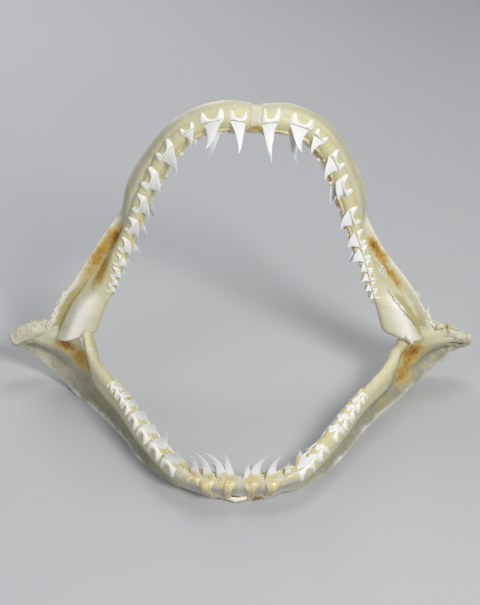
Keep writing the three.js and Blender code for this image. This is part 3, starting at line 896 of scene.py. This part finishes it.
def crack_piece(plate):
    """The dry crack across the paddle, drawn as a near-black tube on the surface: painted shade for its
    gap.
    """
    t = np.linspace(0, 1, 90)
    spots = np.linspace(0, 1, len(CRACK))
    u, a = (np.interp(t, spots, values) for values in zip(*CRACK))
    a = a + 0.035 * grain(np.stack([t * 30, 0 * t, 0 * t], axis=-1), 1.0, SEED + 91)
    radii = 0.3 * np.sin(np.pi * clamp01(0.06 + 0.9 * t)) ** 0.5
    line = tube_shape(plate.points(u, a, 1, 0.35), radii, 8, SEED + 92, (0.8, 0.4))
    make_piece("crack", [line], material_gap_shade())


def flake_pieces(plate):
    """The edges of the flakes above the crack, and the gaps between them as near-black strands of painted
    shade.
    """
    rng = np.random.default_rng(SEED + 95)
    flakes, gaps = [], []
    for k in range(FLAKES):
        turn = rng.uniform(0, 2 * np.pi) + np.array([0, 0.7, 1.5, 2.3])
        size = rng.uniform(0.3, 1.0)
        u = FLAKE_MIDDLE[0] + FLAKE_REACH[0] * size * np.cos(turn)
        a = FLAKE_MIDDLE[1] + FLAKE_REACH[1] * size * np.sin(turn)
        flakes.append(strand(plate.points(u, a, 1, [0.3, 0.7, 0.8, 0.3]), 0.45, SEED + 96 + k))
        if k % 3 == 0:
            gaps.append(strand(plate.points(u + 0.002, a - 0.03, 1, 0.15), 0.25, SEED + 110 + k))
    make_piece("flakes", flakes, material_fibre())
    make_piece("flake_gaps", gaps, material_gap_shade())


# Materials


class Nodes:
    """A short way to write a node material."""

    def __init__(self, name):
        self.mat = bpy.data.materials.new(name)
        self.mat.use_nodes = True
        self.tree = self.mat.node_tree
        self.shader = self.tree.nodes["Principled BSDF"]

    def new(self, kind, **values):
        node = self.tree.nodes.new(kind)
        for key, value in values.items():
            if key in node.inputs:
                self.put(value, node.inputs[key])
            else:
                setattr(node, key, value)
        return node

    def put(self, value, socket):
        if isinstance(value, bpy.types.NodeSocket):
            self.tree.links.new(value, socket)
        else:
            socket.default_value = value

    def mask(self, name):
        return self.new("ShaderNodeAttribute", attribute_name=name).outputs["Fac"]

    def point(self):
        return self.new("ShaderNodeTexCoord").outputs["Object"]

    def noise(self, scale, detail=4.0, vector=None, distortion=0.0):
        node = self.new("ShaderNodeTexNoise", Scale=scale, Detail=detail, Distortion=distortion)
        self.put(vector or self.point(), node.inputs["Vector"])
        return node.outputs["Fac"]

    def stretched(self, scale):
        node = self.new("ShaderNodeMapping")
        self.put(self.point(), node.inputs["Vector"])
        node.inputs["Scale"].default_value = scale
        return node.outputs["Vector"]

    def math(self, operation, a, b):
        node = self.new("ShaderNodeMath", operation=operation)
        self.put(a, node.inputs[0])
        self.put(b, node.inputs[1])
        return node.outputs[0]

    def step(self, value, low, high):
        node = self.new("ShaderNodeMapRange", interpolation_type="SMOOTHSTEP")
        self.put(value, node.inputs["Value"])
        node.inputs["From Min"].default_value = low
        node.inputs["From Max"].default_value = high
        return node.outputs["Result"]

    def mix(self, factor, a, b):
        node = self.new("ShaderNodeMix", data_type="RGBA")
        self.put(factor, node.inputs["Factor"])
        for value, socket in ((a, node.inputs[6]), (b, node.inputs[7])):
            self.put(value if isinstance(value, bpy.types.NodeSocket) else (*value, 1.0), socket)
        return node.outputs[2]

    def plus(self, a, b):
        return self.math("ADD", a, b)

    def times(self, a, b):
        return self.math("MULTIPLY", a, b)

    def over(self, base, strength, mask, colour):
        """A colour laid over a base by a mask."""
        return self.mix(self.times(mask, strength), base, colour)

    def bump(self, height, strength, distance, normal=None):
        node = self.new("ShaderNodeBump", Strength=strength, Distance=distance)
        self.put(height, node.inputs["Height"])
        if normal is not None:
            self.put(normal, node.inputs["Normal"])
        return node.outputs["Normal"]

    def shade(self, **values):
        for key, value in values.items():
            socket = self.shader.inputs[key.replace("_", " ")]
            if not isinstance(value, bpy.types.NodeSocket) and socket.type == "RGBA":
                value = (*value, 1.0)
            self.put(value, socket)


@functools.cache
def material_cartilage():
    n = Nodes("cartilage")
    soft = n.noise(55, 5)
    fine = n.noise(420, 4)
    base = n.mix(soft, (0.56, 0.53, 0.36), (0.71, 0.69, 0.49))
    base = n.over(base, n.step(soft, 0.15, 0.65), n.mask("yellow"), (0.64, 0.58, 0.26))
    # Dark grey laid by this mask: partly the cartilage's own grey, partly painted shade where the lower jaw
    # faces the floor.
    base = n.over(base, 0.9, n.mask("grey"), (0.28, 0.275, 0.20))
    cloud = n.step(n.noise(45, 7, distortion=1.2), 0.42, 0.7)
    base = n.over(base, 0.7, n.times(n.mask("grey"), cloud), (0.46, 0.455, 0.36))
    base = n.over(base, n.step(fine, -0.4, 0.5), n.mask("white"), (0.85, 0.84, 0.76))
    rose = n.mix(soft, (0.47, 0.43, 0.38), (0.64, 0.60, 0.54))
    base = n.over(base, 0.85, n.mask("rose"), rose)
    olive = n.step(n.plus(n.mask("olive"), n.times(fine, 0.5)), 0.35, 1.1)
    base = n.over(base, 0.85, olive, (0.46, 0.40, 0.15))
    streaks = n.noise(480, 6, n.stretched((1.0, 1.0, 0.3)), 0.4)
    mottle = n.plus(n.plus(streaks, -0.5), n.plus(n.noise(260, 7), -0.5))
    mottle = n.times(n.times(mottle, 1.3), n.step(n.mask("stain"), 0.0, 0.5))
    ragged = n.plus(n.times(n.mask("stain"), 0.9), mottle)
    base = n.over(base, 0.8, n.step(ragged, -0.05, 0.6), (0.58, 0.47, 0.17))
    base = n.over(base, 0.95, n.step(ragged, 0.4, 1.25), (0.50, 0.275, 0.022))
    base = n.over(base, 0.9, n.step(ragged, 1.0, 1.7), (0.24, 0.10, 0.012))
    # Painted shadow: the folds are painted near-black.
    base = n.mix(n.step(n.mask("fold_shadow"), 0.3, 0.9), base, (0.07, 0.055, 0.03))
    base = n.over(base, 0.4, n.step(n.noise(1300, 2), 0.60, 0.74), (0.88, 0.86, 0.76))
    base = n.over(base, 0.6, n.step(n.noise(700, 2), 0.70, 0.78), (0.25, 0.17, 0.07))
    pores = n.new("ShaderNodeTexVoronoi", Scale=900.0)
    n.put(n.point(), pores.inputs["Vector"])
    normal = n.bump(pores.outputs["Distance"], 0.15, 0.0004)
    normal = n.bump(fine, 0.4, 0.0008, normal)
    normal = n.bump(n.noise(90, 5, distortion=0.6), 0.3, 0.002, normal)
    n.shade(
        Base_Color=base,
        Roughness=n.plus(0.3, n.times(fine, 0.3)),
        Normal=normal,
        Subsurface_Weight=0.1,
        Subsurface_Scale=0.003,
        Subsurface_Radius=(1.0, 0.7, 0.4),
    )
    return n.mat


@functools.cache
def material_tooth(spare):
    n = Nodes("tooth_spare_shaded" if spare else "tooth")
    soft = n.noise(220, 4)
    fine = n.noise(1400, 3)
    # The spare teeth get darker enamel and bluer tips than the first row: painted shade from the teeth in
    # front of them.
    enamel = (0.74, 0.76, 0.76) if spare else (0.86, 0.86, 0.85)
    tip = (0.58, 0.63, 0.70) if spare else (0.82, 0.84, 0.86)
    crown = n.mix(n.step(n.mask("height"), 0.35, 1.0), enamel, tip)
    crown = n.over(crown, 0.2, n.step(soft, 0.5, 0.8), (0.80, 0.74, 0.55))
    streak = n.noise(330, 5, n.stretched((1.0, 1.0, 0.25)))
    golden = n.mix(n.step(streak, 0.4, 0.75), (0.65, 0.55, 0.27), (0.80, 0.75, 0.54))
    root = n.mix(n.step(soft, 0.3, 0.6), (0.83, 0.82, 0.74), (0.87, 0.865, 0.83))
    root = n.mix(n.mask("aged"), root, golden)
    edge = n.plus(n.mask("root"), n.times(n.plus(soft, -0.5), 0.4))
    base = n.mix(n.step(edge, 0.3, 0.8), crown, root)
    normal = n.bump(n.times(fine, n.mask("root")), 0.4, 0.0004)
    normal = n.bump(n.noise(500, 3), 0.06, 0.0005, normal)
    n.shade(
        Base_Color=base,
        Roughness=n.plus(0.14, n.times(n.step(edge, 0.4, 0.95), 0.3)),
        Normal=normal,
        Subsurface_Weight=0.15,
        Subsurface_Scale=0.002,
        Coat_Weight=0.4,
        Coat_Roughness=0.1,
    )
    return n.mat


@functools.cache
def material_gum():
    n = Nodes("dried_gum")
    soft = n.noise(180, 5)
    base = n.mix(soft, (0.58, 0.52, 0.26), (0.76, 0.72, 0.50))
    base = n.over(base, 0.7, n.step(n.noise(90, 4), 0.58, 0.72), (0.42, 0.27, 0.08))
    normal = n.bump(n.noise(600, 4), 0.5, 0.0006)
    n.shade(Base_Color=base, Roughness=0.38, Normal=normal, Subsurface_Weight=0.15, Subsurface_Scale=0.002)
    return n.mat


@functools.cache
def material_tissue(dark):
    n = Nodes("dried_tissue_dark" if dark else "dried_tissue")
    soft = n.noise(120, 6)
    fibre = n.noise(260, 5, n.stretched((1.0, 1.0, 0.2)))
    if dark:
        base = n.mix(soft, (0.16, 0.08, 0.02), (0.45, 0.30, 0.10))
    else:
        base = n.mix(soft, (0.52, 0.49, 0.33), (0.70, 0.69, 0.58))
        base = n.over(base, 0.5, n.step(fibre, 0.45, 0.7), (0.60, 0.50, 0.37))
        base = n.over(base, 0.7, n.step(n.noise(70, 5), 0.56, 0.72), (0.38, 0.29, 0.12))
    normal = n.bump(fibre, 0.6, 0.0012)
    n.shade(Base_Color=base, Roughness=0.5, Normal=normal, Subsurface_Weight=0.1, Subsurface_Scale=0.002)
    return n.mat


@functools.cache
def material_plain(name, scale, low, high, bump_scale, roughness):
    """A mottled dry surface between two colours."""
    n = Nodes(name)
    base = n.mix(n.noise(scale, 4), low, high)
    normal = n.bump(n.noise(bump_scale, 3), 0.4, 0.0004)
    n.shade(Base_Color=base, Roughness=roughness, Normal=normal)
    return n.mat


def material_fibre():
    return material_plain("torn_fibre", 300, (0.70, 0.66, 0.50), (0.88, 0.87, 0.80), 900, 0.45)


# Near-black for the crack, the gaps between flakes and the slit by the lip: painted shade in those gaps.
def material_gap_shade():
    return material_plain("gap_shade", 400, (0.035, 0.025, 0.012), (0.12, 0.08, 0.03), 800, 0.7)


def floor_material():
    n = Nodes("floor")
    base = n.mix(n.noise(3, 3), (0.48, 0.485, 0.50), (0.51, 0.515, 0.53))
    n.shade(Base_Color=base, Roughness=0.75)
    return n.mat


# Symphysis pads and joint tissue


# How far a pad reaches over the ends of its plates in mm.
PAD_LAP = 3.2
JOINT_STRAPS = 4
JOINT_FIBRES = 14
RIM_FIBRES = {-1: 18, 1: 7}
FOSSA_FIBRES = 6


def pad_piece(kind):
    """The pad of cartilage between the two halves."""
    plate = Plate(kind, 1)
    f = plate.frame_at(0.0)
    edge = kind["pad"] + PAD_LAP
    angle = np.linspace(0, 2 * np.pi, 72, endpoint=False)
    a, b = fuller(np.cos(angle)), fuller(np.sin(angle))
    labial = kind["relief"](1, np.zeros_like(a), a, b)[2]
    across = np.linspace(-edge, edge, 25)
    rings = []
    for x in across:
        skin = 0.35 - 1.5 * abs(x / edge) ** 3
        if plate.upper:
            skin -= 1.5 * ramp(0.3, 1, a) * (1 - (x / edge) ** 2)
        ring = (
            f["centre"]
            + f["across"] * (a * (f["half"] + skin))[:, None]
            + f["outward"] * (b * (f["thick"] / 2 + skin) + labial * np.abs(b))[:, None]
        )
        ring[:, 0] = x
        rings.append(ring)
    p = kind["posed"](np.array(rings))
    p += grid_normals(p) * (0.35 * rough(p * np.array([2.0, 1, 1]), 6, SEED + 50))[..., None]
    points = np.concatenate([p.reshape(-1, 3), p[0].mean(0)[None], p[-1].mean(0)[None]])
    faces = ring_faces(*p.shape[:2]) + cap_faces(*p.shape[:2])
    level = {"yellow": 0.3, "white": 0.3, "stain": 0.0, "olive": 0.0, "grey": 0.0, "fold_shadow": 0.0, "rose": 1.0}
    if plate.upper:
        level.update(grey=0.4, rose=0.0)
    masks = {key: np.full(len(points), value) for key, value in level.items()}
    if plate.upper:
        # Yellow-brown lines mark the sides of the pad, and its lower edge is brown.
        x, a = np.meshgrid(across, np.cos(angle), indexing="ij")
        wave = rough(p * np.array([0.3, 1, 1]), 4, SEED + 53)
        sides = 0.8 * hump(kind["pad"] + 0.8, 1.6, np.abs(x) + 0.5 * wave)
        masks["stain"][:-2] = (sides + 1.1 * ramp(-0.93, -1.0, a + 0.06 * wave)).ravel()
    shape, node = (points, faces, masks), f"{plate.name}_symphysis"
    make_piece(f"{plate.name}_pad", [shape], material_cartilage(), [node], weld=0.01)


def joint_tissue(side):
    """Dried ligament and muscle over the outer end of the joint, with torn fibres."""
    name = f"joint_tissue_{SIDES[side]}"
    rng = np.random.default_rng(SEED + 60 + side)
    shapes = []
    t = np.linspace(0, 1, 90)
    middle = [(side * x, y, z) for x, y, z in ((155, 8, 55), (170, 9, 54), (186, 8, 50), (202, 7, 42))]
    radii = 3.4 + 4.6 * np.sin(np.pi * clamp01(t * 0.78 + 0.1)) ** 0.7
    if side > 0:
        radii *= 0.92 - 0.22 * t
    radii[-8:] *= np.cos(np.linspace(0, 1.45, 8))
    shapes.append(tube_shape(catmull_rom(middle, t), radii, 64, SEED + 60 + side, (6, 1.6), 0.9))
    # A few flat straps run over the lump, and torn bits stand along its upper edge.
    for k in range(JOINT_STRAPS):
        y = rng.uniform(2, 13)
        start = np.array([side * rng.uniform(157, 166), y, 58 + rng.uniform(-1, 3)])
        middle = np.array([side * rng.uniform(168, 178), y + rng.uniform(-2, 2), 59 + rng.uniform(-1, 0.8)])
        end = np.array([side * rng.uniform(182, 194), rng.uniform(4, 11), 54 + rng.uniform(-2, 1)])
        size = rng.uniform(0.7, 1.3)
        shapes.append(strand([start, middle, end], size, SEED + 100 + k, 40, 0.4, 10, (2.2, 0.7)))
    for k in range(JOINT_FIBRES):
        x = side * rng.uniform(158, 186)
        root = np.array([x, rng.uniform(3, 11), 57 + 0.1 * (175 - abs(x))])
        top = root + np.array([rng.normal(0, 1.2), rng.normal(0, 0.8), rng.uniform(1.5, 4.0)])
        shapes.append(strand([root, (root + top) / 2 + rng.normal(0, 0.4, 3), top], 0.9, SEED + 120 + k))
    if side > 0:
        spike = [(181, 3, 53), (181.5, 2.5, 57.5), (180.5, 3, 63)]
        shapes.append(strand(spike, 1.2, SEED + 140, 30, 0.1, 10))
        lump = [(171, 1.5, 58), (175, 1.5, 60), (178.5, 3, 58)]
        strand_piece("joint_gum", material_gum(), lump, 2.2, SEED + 141, 50, 0.4, 24, (3.0, 0.9))
    make_piece(f"{name}_fine", shapes, material_tissue(False), [name], weld=0.01)


def rim_fibres(plate):
    """Torn white fibres along the rear of the upper jaw's basal rim."""
    rng = np.random.default_rng(SEED + 200 + plate.side)
    shapes = []
    for k in range(RIM_FIBRES[plate.side]):
        u = rng.uniform(0.85, 0.97)
        spots = plate.points(
            [u, u + 0.012, u + 0.026], [0.86, 0.93, 0.97 if k % 2 else 0.85], 1,
            [0.3, rng.uniform(0.6, 1.5), rng.uniform(1.0, 3.2)],
        )
        shapes.append(strand(spots, rng.uniform(0.6, 1.35), SEED + 210 + k))
    if plate.side > 0:
        base = plate.points(0.945, 0.87, 1, 0.2)
        spike = [base - [0, 0, 4], base + [0.5, 0, 1.5], base + [1.6, 0.5, 7.5]]
        shapes.append(strand(spike, 1.3, SEED + 230, 30, 0.1, 10))
        lump = plate.points([0.972, 0.985, 0.997], [-0.46, -0.38, -0.36], 1, [0.4, 1.2, 0.6])
        shapes.append(strand(lump, 2.4, SEED + 231, 30, 0.6, 16, (2.0, 0.6)))
    make_piece(f"rim_fibres_{SIDES[plate.side]}", shapes, material_fibre())


def fossa_fibres(plate):
    """Torn white tissue in the hollow of the lower left plate, and a hair below it."""
    rng = np.random.default_rng(SEED + 240)
    shapes = []
    for k in range(FOSSA_FIBRES):
        u = 0.668 + rng.uniform(-0.012, 0.012)
        end = -0.42 + rng.uniform(-0.1, 0.1)
        spots = plate.points([u + 0.005, u, u - 0.004], [-0.8, -0.62, end], 1, 0.5)
        shapes.append(strand(spots, rng.uniform(0.5, 1.1), SEED + 241 + k))
    hair = plate.points([0.711, 0.706, 0.695], [0.4, 0.5, 0.63], 1, 0.7)
    shapes.append(strand(hair, 0.3, SEED + 250))
    make_piece("fossa_fibres", shapes, material_fibre())


def gum_remnants(plate):
    """The tag of gum behind the lower right teeth, and the brown strip by the symphysis."""
    foot = plate.points(plate.at(44.5), -0.98, -1, 0.5)
    shapes = []
    for k, (x, y, z) in enumerate([(2.6, -1.0, 16.0), (0.6, 0.6, 10.0), (-2.0, 0.0, 6.0)]):
        path = [foot, foot + [0.2 * x, y, 0.55 * z], foot + [x, y, z]]
        shapes.append(strand(path, 2.0, SEED + 260 + k, 30, 0.08, 12, (2.2, 0.9)))
    make_piece("gum_remnant", shapes, material_gum())
    strip = plate.points([0.042, 0.06, 0.08], [0.84, 0.74, 0.84], 1, 0.2)
    look = material_tissue(True)
    strand_piece("brown_strip", look, strip, 1.2, SEED + 265, 30, 0.3, 10, (2.0, 0.8))


def lower_lip():
    """The pale lip under the lower symphysis, and the slit above it as a near-black strand of painted
    shade.
    """
    lip = [(-13.5, -162.5, 7.0), (-9, -165.2, 4.8), (-3, -166.5, 3.8), (3, -166, 4.4), (6.5, -164, 6.0)]
    strand_piece("lower_lip", material_fibre(), lip, 2.2, SEED + 270, 60, 0.3, 24, (4.0, 0.8))
    slit = [(-9.5, -165.4, 7.6), (-4, -166.2, 6.6), (2, -166.2, 7.4)]
    strand_piece("lower_slit", material_gap_shade(), slit, 0.6, SEED + 271, 40, 0.2, 10)


# The scene


def make_camera():
    away = np.array([0.0, -math.cos(VIEW_DOWN), math.sin(VIEW_DOWN)])
    data = bpy.data.cameras.new("camera")
    data.sensor_width = SENSOR
    data.sensor_fit = "AUTO"
    focal_px = VIEW_DISTANCE / VIEW_SCALE
    data.lens = focal_px * SENSOR / max(IMAGE)
    camera = bpy.data.objects.new("camera", data)
    camera.location = Vector(to_row(VIEW_TARGET + VIEW_DISTANCE * away))
    camera.rotation_euler = (math.pi / 2 - VIEW_DOWN, 0, 0)
    data.clip_end = FLOOR_SIZE
    bpy.context.scene.collection.objects.link(camera)
    bpy.context.scene.camera = camera


def make_light(name, place, aim, size, power, colour):
    data = bpy.data.lights.new(name, "AREA")
    data.size = size
    data.energy = power
    data.color = colour
    lamp = bpy.data.objects.new(name, data)
    lamp.location = Vector(place)
    lamp.rotation_euler = (Vector(aim) - Vector(place)).to_track_quat("-Z", "Y").to_euler()
    bpy.context.scene.collection.objects.link(lamp)


def make_stage():
    bpy.ops.mesh.primitive_plane_add(size=FLOOR_SIZE, location=(0, 0, 0))
    floor = bpy.context.object
    floor.name = "floor"
    floor.data.materials.append(floor_material())
    world = bpy.context.scene.world or bpy.data.worlds.new("world")
    bpy.context.scene.world = world
    world.use_nodes = True
    background = world.node_tree.nodes["Background"]
    background.inputs["Color"].default_value = WORLD_COLOUR
    background.inputs["Strength"].default_value = WORLD_STRENGTH
    for light in LIGHTS:
        make_light(*light)


def build():
    make_camera()
    for side in SIDES:
        for kind in (UPPER, LOWER):
            plate = Plate(kind, side)
            plate_piece(plate)
            teeth_pieces(plate)
            gum_piece(plate)
            if plate.upper:
                rim_fibres(plate)
            elif side < 0:
                fossa_fibres(plate)
            else:
                gum_remnants(plate)
            if plate.key == "upper_right":
                gum_bits(plate)
                crack_piece(plate)
                flake_pieces(plate)
        joint_tissue(side)
    pad_piece(UPPER)
    pad_piece(LOWER)
    lower_lip()
    make_stage()


bpy.context.scene.view_settings.view_transform = "Standard"
build()
